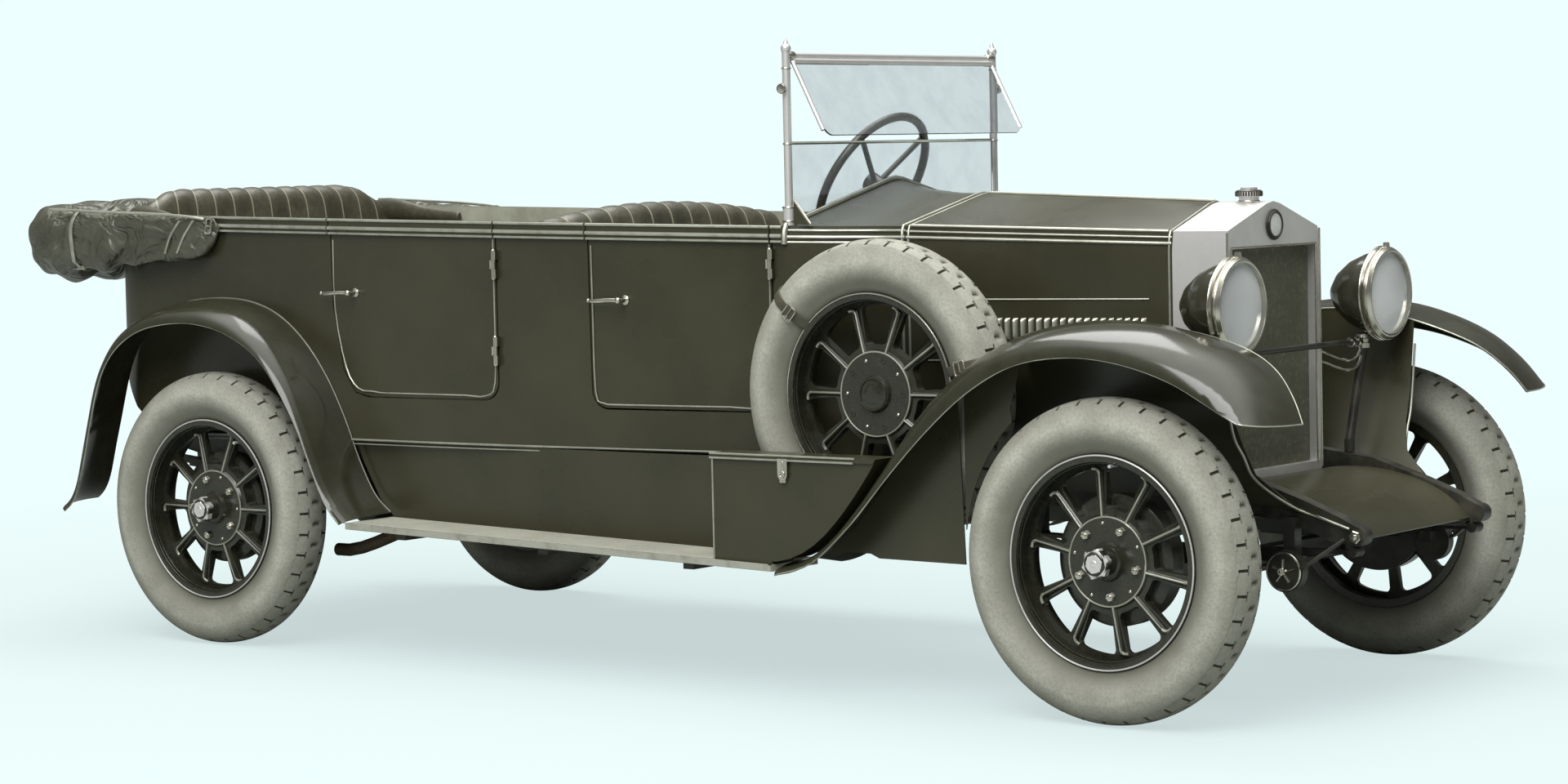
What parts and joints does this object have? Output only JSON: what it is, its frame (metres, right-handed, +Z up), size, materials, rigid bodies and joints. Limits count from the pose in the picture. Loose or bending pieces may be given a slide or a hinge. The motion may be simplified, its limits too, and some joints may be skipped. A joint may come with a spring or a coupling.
{
  "type": "open touring car",
  "caption": "Open 1920s touring car with four doors, folded hood, pressed steel spoked wheels, side-mounted spare wheel, running boards and a hinged windscreen.",
  "frame": {"origin": "on the ground, under the middle of the car's overall box", "axes": "+X forward, +Y to the car's left, +Z up"},
  "size_m": [4.5679, 1.612, 1.736],
  "materials": {
    "body_paint": "deep green-black coach enamel",
    "wing_enamel": "black stove enamel",
    "chassis_paint": "black chassis paint",
    "wheel_enamel": "black wheel enamel",
    "tyre_rubber": "pale grey rubber",
    "nickel": "nickel plate",
    "spring_steel": "oiled spring steel",
    "engine_iron": "cast iron",
    "exhaust_steel": "heated steel",
    "core_brass": "blackened honeycomb core",
    "board_linoleum": "ribbed linoleum",
    "seat_leather": "pleated leather",
    "hood_cloth": "folded hood cloth",
    "clear_glass": "plate glass",
    "lamp_glass": "clear pressed glass",
    "bakelite": "hard black rubber rim"
  },
  "bodies": {
    "car": {"chassis_frame": "chassis_paint", "cross_members": "chassis_paint", "spare_carrier": "chassis_paint", "board_irons": "chassis_paint", "front_axle": "chassis_paint", "rear_axle": "chassis_paint", "leaf_springs": "spring_steel", "friction_dampers": "chassis_paint", "engine_block": "engine_iron", "exhaust_pipe": "exhaust_steel", "radiator_shell": "nickel", "radiator_core": "core_brass", "bonnet": "body_paint", "scuttle": "body_paint", "body_tub": "body_paint", "front_apron": "body_paint", "wing_valances": "body_paint", "wing_skirts": "body_paint", "side_valances": "body_paint", "front_fenders": "wing_enamel", "rear_fenders": "wing_enamel", "running_boards": "board_linoleum", "toolboxes": "body_paint", "front_seat": "seat_leather", "rear_seat": "seat_leather", "hood_bag": "hood_cloth", "headlamp_shells": "wing_enamel", "headlamp_lenses": "lamp_glass", "lamp_brackets": "chassis_paint", "windscreen_frame": "nickel", "windscreen_glass": "clear_glass", "windscreen_visor": "clear_glass", "steering_column": "chassis_paint", "spare_wheel": "wheel_enamel", "spare_tyre": "tyre_rubber"},
    "knuckle_right": {"knuckle_right": "chassis_paint"},
    "knuckle_left": {"knuckle_left": "chassis_paint"},
    "track_rod": {"track_rod": "chassis_paint"},
    "steering_wheel": {"steering_wheel": "bakelite"},
    "wheel_rear_right": {"wheel_rear_right": "wheel_enamel", "tyre_rear_right": "tyre_rubber"},
    "door_rear_right": {"door_rear_right": "body_paint"},
    "wheel_rear_left": {"wheel_rear_left": "wheel_enamel", "tyre_rear_left": "tyre_rubber"},
    "door_rear_left": {"door_rear_left": "body_paint"},
    "wheel_front_right": {"wheel_front_right": "wheel_enamel", "tyre_front_right": "tyre_rubber"},
    "door_front_right": {"door_front_right": "body_paint"},
    "wheel_front_left": {"wheel_front_left": "wheel_enamel", "tyre_front_left": "tyre_rubber"},
    "door_front_left": {"door_front_left": "body_paint"}
  },
  "joints": [
    {"name": "steer_right", "type": "hinge", "parent": "car", "child": "knuckle_right", "pos_m": [1.795, -0.6, 0.406], "axis": [0, 0, 1], "range_deg": [-30, 30]},
    {"name": "steer_left", "type": "hinge", "parent": "car", "child": "knuckle_left", "pos_m": [1.795, 0.6, 0.406], "axis": [0, 0, 1], "range_deg": [-30, 30]},
    {"name": "track_rod_pivot", "type": "hinge", "parent": "knuckle_right", "child": "track_rod", "pos_m": [1.625, -0.6, 0.348], "axis": [0, 0, 1], "range_deg": [-30, 30]},
    {"name": "steering_wheel_turn", "type": "hinge", "parent": "car", "child": "steering_wheel", "pos_m": [0.345, 0.3, 1.335], "axis": [-0.866, 0, 0.5], "range_deg": [-360, 360]},
    {"name": "spin_rear_right", "type": "hinge", "parent": "car", "child": "wheel_rear_right", "pos_m": [-1.357, -0.7115, 0.406], "axis": [0, 1, 0], "continuous": true},
    {"name": "spin_rear_left", "type": "hinge", "parent": "car", "child": "wheel_rear_left", "pos_m": [-1.357, 0.7115, 0.406], "axis": [0, 1, 0], "continuous": true},
    {"name": "spin_front_right", "type": "hinge", "parent": "knuckle_right", "child": "wheel_front_right", "pos_m": [1.795, -0.7115, 0.406], "axis": [0, 1, 0], "continuous": true},
    {"name": "spin_front_left", "type": "hinge", "parent": "knuckle_left", "child": "wheel_front_left", "pos_m": [1.795, 0.7115, 0.406], "axis": [0, 1, 0], "continuous": true},
    {"name": "door_rear_right", "type": "hinge", "parent": "car", "child": "door_rear_right", "pos_m": [-0.3175, -0.61591, 1], "axis": [0, 0, 1], "range_deg": [0, 65]},
    {"name": "door_rear_left", "type": "hinge", "parent": "car", "child": "door_rear_left", "pos_m": [-0.3175, 0.61591, 1], "axis": [0, 0, -1], "range_deg": [0, 65]},
    {"name": "door_front_right", "type": "hinge", "parent": "car", "child": "door_front_right", "pos_m": [0.6065, -0.53083, 1], "axis": [0, 0, 1], "range_deg": [0, 65]},
    {"name": "door_front_left", "type": "hinge", "parent": "car", "child": "door_front_left", "pos_m": [0.6065, 0.53083, 1], "axis": [0, 0, -1], "range_deg": [0, 65]}
  ],
  "couplings": [
    {"joint": "steer_left", "follows": "steer_right", "ratio": 1},
    {"joint": "track_rod_pivot", "follows": "steer_right", "ratio": -1},
    {"joint": "steering_wheel_turn", "follows": "steer_right", "ratio": 12}
  ]
}
